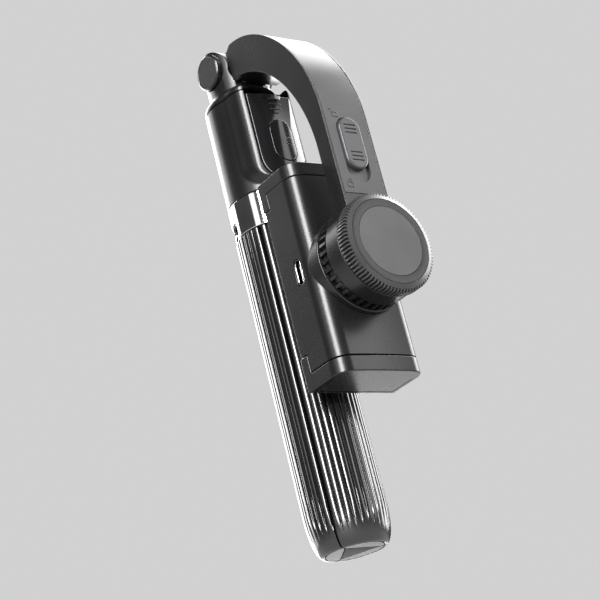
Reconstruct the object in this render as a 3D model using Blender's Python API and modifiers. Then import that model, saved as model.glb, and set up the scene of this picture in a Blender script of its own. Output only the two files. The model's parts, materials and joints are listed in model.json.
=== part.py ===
"""Folding phone gimbal: a tripod handle with a telescopic rod, a tilting arm and a sliding phone clamp.

Lengths below are in millimetres. The origin is the centre of the handle's foot, +Z runs up the handle,
-Y is the side of the remote control and the clamp, and +X is to the right of it.
"""

from math import cos, pi, radians, sin

import bmesh
import bpy
from mathutils import Matrix

MM = 0.001
GAP = 0.3

# Handle: three fluted tripod legs round a tube, under a collar
HANDLE_R = 14.3
FLUTE_R = 13.55
FLUTES_PER_LEG = 12
LEG_HALF_ANGLE = 58.5
LEG_AZIMUTHS = {"front": 270, "left": 150, "right": 30}
LEG_TOP = 115.7
FOOT_R = 10.6
FOOT_ROUNDING = 14.0
FOOT_PAD_R = 9.9
FOOT_PAD_HEIGHT = 2.1
PLUG_TRIANGLE_R = 8.0
LEG_PIVOT_R = 10.0
LEG_PIVOT_Z = 118.9
KNUCKLE_R = 2.7
KNUCKLE_HALF_WIDTH = 4.5
LEG_PIN_R = 1.0
COLLAR_BOTTOM = 116.0
COLLAR_TOP = 128.6
COLLAR_WALL = 1.8
NOTCH_TOP = 122.3
HUB_R = 12.2

# Telescopic rod
ROD_R = 7.0
ROD_WALL = 0.5
ROD_SECTIONS = 5
ROD_TOP = 168.0
ROD_BOTTOM = 56.0

# Head with the remote control's pod
HEAD_BOTTOM = 128.9
HEAD_SEAM = 166.5
HEAD_TOP = 169.6
CAP_ROUNDING = 1.2
POD_R = 17.6
POD_HALF_WIDTH = 12.8
POD_BEND = 140.0
RECESS_BACK = -9.6
REMOTE_HALF_WIDTH = 9.65
REMOTE_TOP = 165.0
REMOTE_BOTTOM = 129.9
REMOTE_BACK = -9.9
PANEL_THICKNESS = 1.2
BUTTON_HALF_WIDTH = 4.85
BUTTON_BOTTOM, BUTTON_TOP = 137.2, 153.6

# Neck and tilt hinge
HINGE_Z = 181.9
NECK_BOTTOM = 169.9
NECK_R = 11.4
NECK_SLOT_FLOOR = 172.7
EAR_R = 7.6
EAR_GAP_HALF = 5.2
EAR_FRONT = -9.7
TONGUE_R = 8.6
TONGUE_HALF_WIDTH = 4.0
HINGE_CLEARANCE = 0.7
HINGE_PIN_R = 1.6
HINGE_CAP_R = 6.6
HINGE_CAP_INNER, HINGE_CAP_OUTER = 10.6, 12.7

# Arm: an arch that runs down into the motor housing
ARM_HALF_WIDTH = 9.6
ARM_OUTER_Y = -50.5
ARM_INNER_Y = -43.9
ARM_OUTER_CENTRE = (-12.0, 137.3)
ARM_OUTER_HEIGHT = 49.3
ARM_OUTER_POWER = 1.85
ARM_INNER_CENTRE = (-9.3, 126.0)
ARM_INNER_HEIGHT = 47.3
ARM_INNER_POWER = 1.9
COVER_HALF_WIDTH = 8.7
COVER_THICKNESS = 1.7
COVER_END_Z = 106.3
SLIDER_HALF_WIDTH = 4.5
SLIDER_BOTTOM, SLIDER_TOP = 115.3, 135.0
SLIDER_TRAVEL = 4.3

# Motor, knob and rotor, all turned about the Y axis through (0, MOTOR_Z)
MOTOR_Z = 86.2
HOUSING_R = 17.4
HOUSING_BORE = 14.0
HOUSING_FLOOR = -45.2
SHAFT_R = 2.5
BORE_R = SHAFT_R + GAP
KNOB_R = 17.9
KNOB_TEETH = 40
KNOB_BACK = -50.8
KNOB_SHOULDER = -54.9
KNOB_FRONT = -56.1
KNOB_RIM_R = 15.3
KNOB_FACE_R = 12.6
TOOTH_RING_TEETH = 32

# Phone clamp
CLAMP_HALF_WIDTH = 18.0
CLAMP_FRONT = -37.8
CLAMP_CORNER_R = 6.0
CLAMP_BOW = 0.4
CLAMP_BACK = -19.05
JAW_BACK = -18.2
JAW_LIP_FRONT = -22.1
CLAMP_WALL = 2.2
JAW_LOWER = (48.5, 54.0, 60.3)
JAW_UPPER = (124.5, 119.6, 113.9)
JAW_ROD_PLACE = (12.5, -33.0)
JAW_ROD_R = 1.1
USB_PLACE = (-28.6, 87.1)

SHARP_ANGLE = radians(32)

SLOTS = {
    "gloss_black": ((0.012, 0.012, 0.013), 0.12, 0.0),
    "satin_black": ((0.03, 0.03, 0.032), 0.4, 0.0),
    "grip_black": ((0.02, 0.02, 0.021), 0.22, 0.0),
    "shell_grey": ((0.09, 0.09, 0.092), 0.35, 0.0),
    "metal_grey": ((0.2, 0.2, 0.205), 0.3, 0.8),
    "chrome": ((0.75, 0.75, 0.76), 0.12, 1.0),
    "foot_silver": ((0.6, 0.6, 0.6), 0.3, 0.6),
    "steel": ((0.55, 0.55, 0.56), 0.25, 1.0),
    "rubber": ((0.02, 0.02, 0.02), 0.8, 0.0),
    "copper": ((0.6, 0.3, 0.15), 0.35, 1.0),
    "board_green": ((0.02, 0.12, 0.05), 0.5, 0.0),
    "battery_wrap": ((0.25, 0.28, 0.33), 0.4, 0.0),
}


# ---------------------------------------------------------------- scene, bodies and materials


def clear_scene():
    for obj in list(bpy.data.objects):
        bpy.data.objects.remove(obj)


def make_collection(name):
    collection = bpy.data.collections.new(name)
    bpy.context.scene.collection.children.link(collection)
    return collection


def make_material(name):
    colour, roughness, metallic = SLOTS[name]
    material = bpy.data.materials.new(name)
    material.use_nodes = True
    shader = material.node_tree.nodes["Principled BSDF"]
    shader.inputs["Base Color"].default_value = (*colour, 1.0)
    shader.inputs["Roughness"].default_value = roughness
    shader.inputs["Metallic"].default_value = metallic
    return material


def make_body(name, place, parent=None):
    """Empty on a moving body's joint axis, which the body's pieces hang from."""
    empty = bpy.data.objects.new(name, None)
    empty.empty_display_size = 0.01
    PARTS.objects.link(empty)
    location = Matrix.Translation([MM * value for value in place])
    empty.parent = parent
    empty.matrix_basis = (BODY_PLACES[parent.name].inverted() if parent else Matrix()) @ location
    BODY_PLACES[name] = location
    return empty


def finish(obj, slot, body):
    """Hang a piece on its body's empty and give it its material and smooth shading."""
    obj.data.transform(BODY_PLACES[body.name].inverted())
    obj.parent = body
    obj.data.materials.clear()
    obj.data.materials.append(MATERIALS[slot])
    obj.data.shade_smooth()
    obj.data.set_sharp_from_angle(angle=SHARP_ANGLE)
    return obj


# ---------------------------------------------------------------- outlines


def arc(centre, radius, start, end, steps):
    """Points on a circle from one angle in degrees to another."""
    angles = [radians(start + (end - start) * i / steps) for i in range(steps + 1)]
    return [(centre[0] + radius * cos(a), centre[1] + radius * sin(a)) for a in angles]


def mirrored(points):
    """Outline from the half at +x, which is listed from its top to its bottom."""
    return points + [(-x, y) for x, y in reversed(points) if abs(x) > 1e-6]


def oblong(half_width, low, high, steps=8, centre=0.0):
    """Round-ended slot outline between two heights."""
    top = arc((centre, high - half_width), half_width, 0, 180, steps)
    bottom = arc((centre, low + half_width), half_width, 180, 360, steps)
    return top + bottom


def rounded_box(x_range, y_range, radius, steps=4):
    (x0, x1), (y0, y1) = x_range, y_range
    corners = [(x1, y1, 0), (x0, y1, 90), (x0, y0, 180), (x1, y0, 270)]
    points = []
    for x, y, start in corners:
        centre = (x - radius if x == x1 else x + radius, y - radius if y == y1 else y + radius)
        points += arc(centre, radius, start, start + 90, steps)
    return points


def toothed(outer, inner, teeth, duty=0.5, flank=0.12):
    """Gear-like outline whose teeth fill a share of each pitch. flank is the share of each sloping side."""
    half = duty / 2
    corners = ((-half, outer), (half, outer), (half + flank, inner), (1 - half - flank, inner))
    points = []
    for i in range(teeth):
        for share, radius in corners:
            angle = 2 * pi * (i + share) / teeth
            points.append((radius * cos(angle), radius * sin(angle)))
    return points


def squared_arc(centre, half_width, height, power, steps):
    """Quarter of a superellipse, from its top to its side at -x."""
    points = []
    for i in range(steps + 1):
        angle = pi / 2 * i / steps
        x = sin(angle) ** (2 / power)
        z = cos(angle) ** (2 / power) if angle < pi / 2 - 1e-9 else 0.0
        points.append((centre[0] - half_width * x, centre[1] + height * z))
    return points


def pod_front(half_width, bottom, top, bend=POD_BEND, power=2.5, steps=7):
    """Front view of the remote control: straight sides over a full, rounded lower end."""
    lower = squared_arc((0.0, bend), half_width, bottom - bend, power, steps)
    half = [(half_width, top)] + [(-x, z) for x, z in reversed(lower)]
    return mirrored(half)


# ---------------------------------------------------------------- solids


def add_object(name, mesh):
    obj = bpy.data.objects.new(name, mesh)
    PARTS.objects.link(obj)
    return obj


def realised(source, name, turn=None):
    """Replace an object by the plain, welded mesh of its evaluated shape."""
    bpy.context.view_layer.update()
    graph = bpy.context.evaluated_depsgraph_get()
    mesh = bpy.data.meshes.new_from_object(source.evaluated_get(graph))
    shape = bmesh.new()
    shape.from_mesh(mesh)
    bmesh.ops.remove_doubles(shape, verts=shape.verts, dist=0.0005 * MM)
    if turn is not None:
        bmesh.ops.transform(shape, matrix=turn, verts=shape.verts)
    bmesh.ops.recalc_face_normals(shape, faces=shape.faces)
    shape.to_mesh(mesh)
    shape.free()
    bpy.data.objects.remove(source)
    return add_object(name, mesh)


def facing(axis):
    """Matrix that lays a shape's own X, Y, Z along the axes of the view that its outline is drawn in."""
    rows = {
        "Z": ((1, 0, 0), (0, 1, 0), (0, 0, 1)),
        "X": ((0, 0, 1), (1, 0, 0), (0, 1, 0)),
        "Y": ((1, 0, 0), (0, 0, -1), (0, 1, 0)),
    }[axis]
    return Matrix(rows).to_4x4()


def prism(name, points, low, high, axis="Z"):
    """Outline extruded from low to high. It is drawn in XY for Z, in YZ for X, and in XZ for Y."""
    curve = bpy.data.curves.new(name, "CURVE")
    curve.dimensions = "2D"
    curve.fill_mode = "BOTH"
    curve.extrude = MM * (high - low) / 2
    spline = curve.splines.new("POLY")
    spline.points.add(len(points) - 1)
    for point, (x, y) in zip(spline.points, points):
        point.co = (MM * x, MM * y, 0.0, 1.0)
    spline.use_cyclic_u = True
    middle = MM * (low + high) / 2 * (-1 if axis == "Y" else 1)
    turn = facing(axis) @ Matrix.Translation((0, 0, middle))
    return realised(add_object(name, curve), name, turn)


def box(name, x_range, y_range, z_range):
    """Box between the given limits."""
    shape = bmesh.new()
    sides = [high - low for low, high in (x_range, y_range, z_range)]
    middle = [MM * (low + high) / 2 for low, high in (x_range, y_range, z_range)]
    placed = Matrix.Translation(middle) @ Matrix.Diagonal([MM * side for side in sides]).to_4x4()
    bmesh.ops.create_cube(shape, size=1.0, matrix=placed)
    mesh = bpy.data.meshes.new(name)
    shape.to_mesh(mesh)
    shape.free()
    return add_object(name, mesh)


def cylinder(name, radius, low, high, axis="Z", centre=(0.0, 0.0), steps=24):
    """Cylinder along an axis, placed in the view that prism uses for that axis."""
    shape = bmesh.new()
    middle = MM * (low + high) / 2 * (-1 if axis == "Y" else 1)
    placed = facing(axis) @ Matrix.Translation((MM * centre[0], MM * centre[1], middle))
    bmesh.ops.create_cone(
        shape,
        cap_ends=True,
        segments=steps,
        radius1=MM * radius,
        radius2=MM * radius,
        depth=MM * (high - low),
        matrix=placed,
    )
    mesh = bpy.data.meshes.new(name)
    shape.to_mesh(mesh)
    shape.free()
    return add_object(name, mesh)


def turned(name, profile, steps=48, axis="Z", centre=(0.0, 0.0), closed=True):
    """Profile of (radius, height) points, listed down the outer side, turned about an axis."""
    mesh = bpy.data.meshes.new(name)
    count = len(profile)
    edges = [(i, (i + 1) % count) for i in range(count if closed else count - 1)]
    up = -1 if axis == "Y" else 1
    mesh.from_pydata([(MM * r, 0.0, MM * h * up) for r, h in profile], edges, [])
    obj = add_object(name, mesh)
    screw = obj.modifiers.new("Turn", "SCREW")
    screw.steps = steps
    screw.render_steps = steps
    screw.use_merge_vertices = True
    screw.merge_threshold = 0.001 * MM
    turn = facing(axis) @ Matrix.Translation((MM * centre[0], MM * centre[1], 0.0))
    return realised(obj, name, turn)


def tube(name, inner, outer, low, high, axis="Z", centre=(0.0, 0.0), steps=20):
    profile = [(outer, high), (outer, low), (inner, low), (inner, high)]
    return turned(name, profile, steps, axis, centre)


def boolean(obj, tool, operation):
    """Cut, join or intersect an object with a tool, which is used up."""
    modifier = obj.modifiers.new(operation, "BOOLEAN")
    modifier.operation = operation
    modifier.object = tool
    modifier.solver = "EXACT"
    name = obj.name
    result = realised(obj, name)
    bpy.data.objects.remove(tool)
    return result


def cut(obj, *tools):
    for tool in tools:
        obj = boolean(obj, tool, "DIFFERENCE")
    return obj


def join(obj, *tools):
    for tool in tools:
        obj = boolean(obj, tool, "UNION")
    return obj


def common(obj, tool):
    return boolean(obj, tool, "INTERSECT")


def eased(obj, width, segments=2, angle=50):
    """Round the edges that are sharper than the angle."""
    bevel = obj.modifiers.new("Ease", "BEVEL")
    bevel.width = MM * width
    bevel.segments = segments
    bevel.limit_method = "ANGLE"
    bevel.angle_limit = radians(angle)
    bevel.harden_normals = False
    return realised(obj, obj.name)


def swung(obj, azimuth):
    """Turn a piece that was made pointing along +X to an azimuth about the handle."""
    obj.data.transform(Matrix.Rotation(radians(azimuth), 4, "Z"))
    return obj


# ---------------------------------------------------------------- tripod handle


def leg_plan():
    """Third of a fluted ring, centred on +X, whose flutes are shallow grooves."""
    pitch = 120 / FLUTES_PER_LEG
    flank_r = HANDLE_R - 0.2
    rib = ((-0.5, FLUTE_R), (-0.29, flank_r), (0.0, HANDLE_R), (0.29, flank_r))
    points = []
    for i in range(FLUTES_PER_LEG):
        crest = -60 + pitch * (i + 0.5)
        for offset, radius in rib:
            angle = radians(max(crest + offset * pitch, -LEG_HALF_ANGLE))
            points.append((radius * cos(angle), radius * sin(angle)))
    edge = radians(LEG_HALF_ANGLE)
    points.append((FLUTE_R * cos(edge), FLUTE_R * sin(edge)))
    points += arc((0, 0), ROD_R + GAP, LEG_HALF_ANGLE, -LEG_HALF_ANGLE, 10)
    return points


def handle_envelope():
    """Outer limit of the legs: rounded over at the foot, and a funnel at the top for the swing."""
    outer = HANDLE_R + 0.3
    funnel = LEG_TOP - HANDLE_R
    steps = 4
    foot = []
    for i in range(steps + 1):
        angle = pi / 2 * i / steps
        foot.append((FOOT_R + (outer - FOOT_R) * cos(angle), FOOT_ROUNDING * (1 - sin(angle))))
    top = [(0, funnel + 4), (4, funnel + 4), (HANDLE_R - 0.5, LEG_TOP - 0.5), (HANDLE_R - 0.2, LEG_TOP)]
    profile = top + [(outer, LEG_TOP)] + foot + [(0, 0)]
    return turned("envelope", profile, 36, closed=False)


def make_leg(side, body):
    azimuth = LEG_AZIMUTHS[side]
    half = KNUCKLE_HALF_WIDTH
    leg = prism("leg_" + side, leg_plan(), 0, LEG_TOP + 1)
    leg = common(leg, handle_envelope())
    leg = cut(leg, cylinder("pad_pocket", FOOT_PAD_R + GAP, -1, FOOT_PAD_HEIGHT + GAP, steps=36))
    web = box("web", (ROD_R + 0.6, 12.4), (-half, half), (100, LEG_PIVOT_Z))
    knuckle = cylinder("knuckle", KNUCKLE_R, -half, half, "Y", (LEG_PIVOT_R, LEG_PIVOT_Z))
    leg = join(leg, web, knuckle)
    leg = cut(leg, cylinder("pin_hole", LEG_PIN_R + GAP, -8, 8, "Y", (LEG_PIVOT_R, LEG_PIVOT_Z), 12))
    finish(swung(leg, azimuth), "grip_black", body)


def make_foot_pad(side, body):
    """Flat segment of the foot between the plug's edge and the leg's rounded end."""
    edge = PLUG_TRIANGLE_R / 2 + GAP
    outline = arc((0, 0), FOOT_PAD_R, -LEG_HALF_ANGLE, LEG_HALF_ANGLE, 12)
    corner_y = edge * sin(radians(LEG_HALF_ANGLE)) / cos(radians(LEG_HALF_ANGLE))
    outline += [(edge, corner_y), (edge, -corner_y)]
    pad = eased(prism("foot_pad_" + side, outline, 0, FOOT_PAD_HEIGHT), 0.15, 1)
    finish(swung(pad, LEG_AZIMUTHS[side]), "foot_silver", body)


def make_end_plug(body):
    triangle = arc((0, 0), PLUG_TRIANGLE_R, 90, 330, 2)
    finish(prism("end_plug", triangle, 0, 2.5), "satin_black", body)


def make_leg_hub(body):
    hub = tube("leg_hub", ROD_R + GAP, HUB_R, COLLAR_BOTTOM + GAP, COLLAR_TOP - GAP, steps=24)
    half = KNUCKLE_HALF_WIDTH + GAP
    heights = (COLLAR_BOTTOM - 1, LEG_PIVOT_Z + KNUCKLE_R + GAP)
    for azimuth in LEG_AZIMUTHS.values():
        slot = box("slot", (6.2, HUB_R + 1), (-half, half), heights)
        hole = cylinder("hole", LEG_PIN_R + GAP, -6.2, 6.2, "Y", (LEG_PIVOT_R, LEG_PIVOT_Z), 12)
        hub = cut(hub, swung(slot, azimuth), swung(hole, azimuth))
    finish(hub, "satin_black", body)


def make_leg_pin(side, body):
    pin = cylinder("leg_pin_" + side, LEG_PIN_R, -5.3, 5.3, "Y", (LEG_PIVOT_R, LEG_PIVOT_Z), 12)
    finish(swung(pin, LEG_AZIMUTHS[side]), "steel", body)


def make_collar(body):
    ring = tube("collar_ring", HANDLE_R - COLLAR_WALL, HANDLE_R, COLLAR_BOTTOM, COLLAR_TOP, steps=42)
    half = KNUCKLE_HALF_WIDTH + 0.4
    for azimuth in LEG_AZIMUTHS.values():
        notch = prism("notch", rounded_box((-half, half), (COLLAR_BOTTOM - 4, NOTCH_TOP), 1.6), 10, 16, "X")
        ring = cut(ring, swung(notch, azimuth))
    finish(ring, "chrome", body)


def make_rod(bodies):
    outer = tube("rod_outer_tube", ROD_R - ROD_WALL - 0.1, ROD_R, ROD_BOTTOM, ROD_TOP)
    finish(outer, "steel", bodies["handle"])
    radius = ROD_R - ROD_WALL - 0.1 - GAP
    for number in range(1, ROD_SECTIONS + 1):
        name = f"rod_section_{number}"
        section = tube(name, radius - ROD_WALL, radius, ROD_BOTTOM + 3 + number, ROD_TOP)
        finish(section, "steel", bodies[name])
        radius -= ROD_WALL + GAP
    spindle = cylinder("pan_spindle", radius, 150, 172.2)
    finish(spindle, "steel", bodies[f"rod_section_{ROD_SECTIONS}"])


# ---------------------------------------------------------------- head and remote control


def head_plan():
    """Circle of the handle with the remote's pod swelling out of its front."""
    half = arc((0, 0), HANDLE_R, 90, -22, 11)
    half += [(12.6, -9.2), (11.9, -12.0), (11.2, -13.3)]
    half += arc((0, 0), POD_R, -53.5, -90, 5)
    return mirrored(half)


def remote_recess():
    front = pod_front(REMOTE_HALF_WIDTH + GAP, REMOTE_BOTTOM - GAP, 180)
    return prism("recess", front, -25, RECESS_BACK, "Y")


def make_head(body):
    shell = prism("head_shell", head_plan(), HEAD_BOTTOM, HEAD_SEAM)
    front = prism("front", pod_front(POD_HALF_WIDTH, HEAD_BOTTOM - 0.2, 180), -25, 0, "Y")
    allowed = join(cylinder("allowed", HANDLE_R + 0.02, HEAD_BOTTOM - 1, 180, steps=40), front)
    shell = common(shell, allowed)
    shell = cut(shell, cylinder("bore", ROD_R + GAP, 100, 200, steps=24), remote_recess())
    finish(shell, "shell_grey", body)

    cap = eased(prism("head_cap", head_plan(), HEAD_SEAM - 4, HEAD_TOP), CAP_ROUNDING)
    below = box("below", (-30, 30), (-30, 30), (HEAD_SEAM - 10, HEAD_SEAM + GAP))
    cap = cut(cap, below, cylinder("bore", ROD_R + GAP, 100, 200, steps=24), remote_recess())
    finish(cap, "shell_grey", body)


def make_remote(body, button_body):
    front = pod_front(REMOTE_HALF_WIDTH, REMOTE_BOTTOM, REMOTE_TOP)
    inner_r = POD_R - PANEL_THICKNESS
    face = tube("face", inner_r, POD_R, 120, 170, steps=48)
    panel = common(prism("remote_panel", front, -25, -11, "Y"), face)
    window = oblong(BUTTON_HALF_WIDTH + GAP, BUTTON_BOTTOM - GAP, BUTTON_TOP + GAP)
    panel = cut(panel, prism("window", window, -25, -11, "Y"))
    finish(panel, "gloss_black", body)

    inside = cylinder("inside", inner_r - GAP, 120, 170, steps=48)
    shell = common(prism("remote_shell", front, -25, REMOTE_BACK, "Y"), inside)
    pocket = pod_front(REMOTE_HALF_WIDTH - 1.4, REMOTE_BOTTOM + 2.4, REMOTE_TOP - 1.6)
    finish(cut(shell, prism("pocket", pocket, -25, -11.2, "Y")), "satin_black", body)

    key = oblong(BUTTON_HALF_WIDTH, BUTTON_BOTTOM, BUTTON_TOP)
    button = prism("shutter_button", key, -25, -15.4, "Y")
    button = common(button, cylinder("face", POD_R + 0.15, 120, 170, steps=48))
    finish(button, "gloss_black", button_body)

    board = box("remote_circuit_board", (-7.4, 7.4), (-12.3, -11.5), (137, 163))
    finish(board, "board_green", body)
    cell = cylinder("remote_coin_cell", 6.25, -14.6, -12.6, "Y", (0, 156.6), 28)
    finish(cell, "steel", body)
    finish(cylinder("remote_switch", 1.8, -14.0, -12.6, "Y", (0, 145.4), 16), "steel", body)


# ---------------------------------------------------------------- neck and hinge


def make_neck(body):
    column = [(NECK_R, 195), (NECK_R, 171.8), (NECK_R + 0.4, 170.8), (NECK_R + 1.1, NECK_BOTTOM)]
    column += [(2.4, NECK_BOTTOM), (2.4, 195)]
    neck = turned("neck", column, 32)
    half = arc((0, HINGE_Z), EAR_R, 90, -18, 6)
    half += [(8.1, 176.0), (9.0, 173.4), (10.7, 171.2), (13.0, NECK_BOTTOM)]
    neck = common(neck, prism("ears", mirrored(half), -14, 14, "X"))
    neck = cut(neck, box("slot", (-EAR_GAP_HALF, EAR_GAP_HALF), (-16, 16), (NECK_SLOT_FLOOR, 200)))
    neck = cut(neck, cylinder("pin_hole", HINGE_PIN_R + GAP, -14, 14, "X", (0, HINGE_Z), 20))
    for side in (-1, 1):
        low, high = sorted((side * (HINGE_CAP_INNER - GAP), side * 14))
        neck = cut(neck, cylinder("seat", HINGE_CAP_R + GAP, low, high, "X", (0, HINGE_Z), 28))
    finish(neck, "satin_black", body)

    finish(cylinder("hinge_pin", HINGE_PIN_R, -10.2, 10.2, "X", (0, HINGE_Z), 20), "steel", body)
    for name, side in (("left", -1), ("right", 1)):
        low, high = sorted((side * HINGE_CAP_INNER, side * HINGE_CAP_OUTER))
        disc = cylinder("hinge_cap_" + name, HINGE_CAP_R, low, high, "X", (0, HINGE_Z), 28)
        finish(eased(disc, 0.5, 1), "metal_grey", body)
        low, high = sorted((side * 4.3, side * 4.9))
        finish(tube("tilt_washer_" + name, 2.0, 5.4, low, high, "X", (0, HINGE_Z), 16), "steel", body)


# ---------------------------------------------------------------- arm


def arm_outer(inset=0.0, start=0.0, steps=14):
    """Outer side of the arch, from its top near the hinge down to where it turns straight."""
    half_width = ARM_OUTER_CENTRE[0] - ARM_OUTER_Y - inset
    points = squared_arc(ARM_OUTER_CENTRE, half_width, ARM_OUTER_HEIGHT - inset, ARM_OUTER_POWER, steps)
    return [point for point in points if point[0] <= ARM_OUTER_CENTRE[0] - start]


def arm_inner(steps=12):
    half_width = ARM_INNER_CENTRE[0] - ARM_INNER_Y
    return squared_arc(ARM_INNER_CENTRE, half_width, ARM_INNER_HEIGHT, ARM_INNER_POWER, steps)


def arm_side():
    """Side view of the arm in YZ, from the hinge over the arch and down to the motor."""
    end = MOTOR_Z + 8
    outline = arm_outer() + [(ARM_OUTER_Y, end), (ARM_INNER_Y, end)] + list(reversed(arm_inner()))
    return outline + [(-6.0, 176.0), (-6.0, 182.5)]


def cover_side(inset, end, start, lift=0.0):
    """Strip along the outer side of the arch, from start down to the end height."""
    outer = [(ARM_OUTER_Y - lift, end)]
    outer += [(y - lift, z + lift) for y, z in reversed(arm_outer(start=start))]
    return outer + arm_outer(inset, start) + [(ARM_OUTER_Y + inset, end)]


def make_arm(body):
    side = arm_side()
    arm = prism("arm_frame", side, -ARM_HALF_WIDTH, ARM_HALF_WIDTH, "X")
    hinge = (0, HINGE_Z)
    arm = join(arm, cylinder("knuckle", TONGUE_R, -ARM_HALF_WIDTH - 1, ARM_HALF_WIDTH + 1, "X", hinge, 28))
    for sign in (-1, 1):
        low, high = sorted((sign * TONGUE_HALF_WIDTH, sign * 20))
        ear_room = box("ear_room", (low, high), (EAR_FRONT, 20), (160, HINGE_Z))
        hinge_room = cylinder("hinge_room", TONGUE_R + HINGE_CLEARANCE, low, high, "X", hinge, 28)
        arm = cut(arm, hinge_room, ear_room)
    skin = 0.05
    housing = cylinder("housing", HOUSING_R, ARM_OUTER_Y + skin, ARM_INNER_Y - skin, "Y", (0, MOTOR_Z), 44)
    arm = join(arm, housing)
    bore = cylinder("motor_room", HOUSING_BORE, -60, HOUSING_FLOOR, "Y", (0, MOTOR_Z), 28)
    shaft_hole = cylinder("shaft_hole", 3.6, -60, -40, "Y", (0, MOTOR_Z), 16)
    pin_hole = cylinder("pin_hole", HINGE_PIN_R + GAP, -20, 20, "X", hinge, 20)
    pocket_half = COVER_HALF_WIDTH + GAP
    pocket_side = cover_side(COVER_THICKNESS + GAP, COVER_END_Z - GAP, 3.5, 3.0)
    pocket = prism("pocket", pocket_side, -pocket_half, pocket_half, "X")
    channel = box("channel", (-2.4, 2.4), (-48.9, -46.2), (99.0, 133.0))
    arm = cut(arm, bore, shaft_hole, pin_hole, pocket, channel)
    finish(arm, "shell_grey", body)

    strip = cover_side(COVER_THICKNESS, COVER_END_Z, 4.2)
    cover = prism("arm_cover", strip, -COVER_HALF_WIDTH, COVER_HALF_WIDTH, "X")
    track = oblong(SLIDER_HALF_WIDTH + GAP, SLIDER_BOTTOM - SLIDER_TRAVEL - GAP, SLIDER_TOP + GAP)
    track_floor = ARM_OUTER_Y + 1.1
    cover = cut(cover, prism("track", track, -60, track_floor, "Y"))
    stem_slot = box("stem_slot", (-1.7, 1.7), (-60, -40), (122.0 - SLIDER_TRAVEL - GAP, 127.0 + GAP))
    finish(cut(cover, stem_slot), "metal_grey", body)


def make_slider(body):
    floor = ARM_OUTER_Y + 1.1 - GAP
    face = ARM_OUTER_Y - 1.1
    slider = prism("lock_slider", oblong(SLIDER_HALF_WIDTH, SLIDER_BOTTOM, SLIDER_TOP), face, floor, "Y")
    middle = (SLIDER_BOTTOM + SLIDER_TOP) / 2
    for group in (-1, 1):
        for line in (-1, 0, 1):
            height = middle + group * 5.2 + line * 1.5
            grip = box("grip", (-2.6, 2.6), (face - 1, face + 0.35), (height - 0.3, height + 0.3))
            slider = cut(slider, grip)
    stem = box("stem", (-1.3, 1.3), (floor - 0.5, -48.4), (122.0, 127.0))
    finish(join(slider, stem), "metal_grey", body)
    finish(box("lock_pawl", (-2.0, 2.0), (-48.1, -46.6), (103.5, 128.0)), "steel", body)


def make_motor(body):
    """Nine wound poles round two bearings."""
    poles = round_motor(toothed(11.3, 8.4, 9, 0.55))
    stator = prism("motor_stator", poles, -49.1, -45.6, "Y")
    stator = cut(stator, cylinder("bore", 4.9, -60, -40, "Y", (0, MOTOR_Z), 24))
    finish(stator, "copper", body)
    for name, low, high in (("front", -49.1, -47.5), ("rear", -47.2, -45.6)):
        bearing = tube("motor_bearing_" + name, BORE_R, 4.6, low, high, "Y", (0, MOTOR_Z))
        finish(bearing, "steel", body)


# ---------------------------------------------------------------- knob, rotor and clamp


def round_motor(points):
    """Outline drawn about the origin, moved to the motor's axis."""
    return [(x, z + MOTOR_Z) for x, z in points]


def make_rotor(body):
    centre = (0, MOTOR_Z)
    finish(cylinder("motor_shaft", SHAFT_R, -54.3, -30.5, "Y", centre), "steel", body)
    bell = [(12.6, -46.0), (12.6, -50.5), (BORE_R, -50.5)]
    bell += [(BORE_R, -49.6), (11.8, -49.6), (11.8, -46.0)]
    finish(turned("rotor_bell", bell, 24, "Y", centre), "metal_grey", body)

    floor = KNOB_FRONT + 1.5
    outer = KNOB_R + 0.1
    cap = [(outer, KNOB_BACK), (outer, KNOB_SHOULDER), (KNOB_RIM_R, KNOB_FRONT)]
    cap += [(KNOB_RIM_R, floor), (BORE_R, floor), (BORE_R, KNOB_BACK)]
    knob = turned("knob_cap", cap, 40, "Y", centre)
    teeth = round_motor(toothed(KNOB_R, KNOB_R - 0.45, KNOB_TEETH, 0.44))
    finish(common(knob, prism("teeth", teeth, -60, -40, "Y")), "metal_grey", body)
    inner, outer = KNOB_FACE_R + GAP, KNOB_RIM_R - GAP
    ring = tube("knob_ring", inner, outer, KNOB_FRONT + 0.15, floor - GAP, "Y", centre, 40)
    finish(ring, "gloss_black", body)
    face = cylinder("knob_face", KNOB_FACE_R, KNOB_FRONT, floor - GAP, "Y", centre, 40)
    finish(eased(face, 0.25, 1), "metal_grey", body)

    teeth = round_motor(toothed(HOUSING_R, HOUSING_R - 1.0, TOOTH_RING_TEETH))
    ring = prism("rotor_tooth_ring", teeth, -43.6, -40.1, "Y")
    finish(cut(ring, cylinder("bore", BORE_R, -60, -30, "Y", centre)), "shell_grey", body)
    fairing = cylinder("clamp_fairing", KNOB_R, -39.8, -32.0, "Y", centre, 44)
    clamp_room = prism("clamp_room", clamp_plan(GAP, -20), 40, 140)
    fairing = cut(fairing, clamp_room, cylinder("bore", BORE_R, -60, -30, "Y", centre))
    finish(fairing, "shell_grey", body)
    nut = cylinder("shaft_nut", 5.6, -34.9, -32.9, "Y", centre, 6)
    finish(cut(nut, cylinder("bore", BORE_R, -60, -30, "Y", centre)), "steel", body)


def clamp_plan(grow, back):
    """Plan of the clamp: flat sides and back, rounded front corners and a slightly bowed front."""
    half_width = CLAMP_HALF_WIDTH + grow
    radius = CLAMP_CORNER_R + grow
    front = CLAMP_FRONT - grow
    corner = (half_width - radius, front + CLAMP_BOW + radius)
    half = [(half_width, back)] + arc(corner, radius, 0, -88, 7) + [(7.0, front + 0.13), (0.0, front)]
    return mirrored(half)


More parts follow.
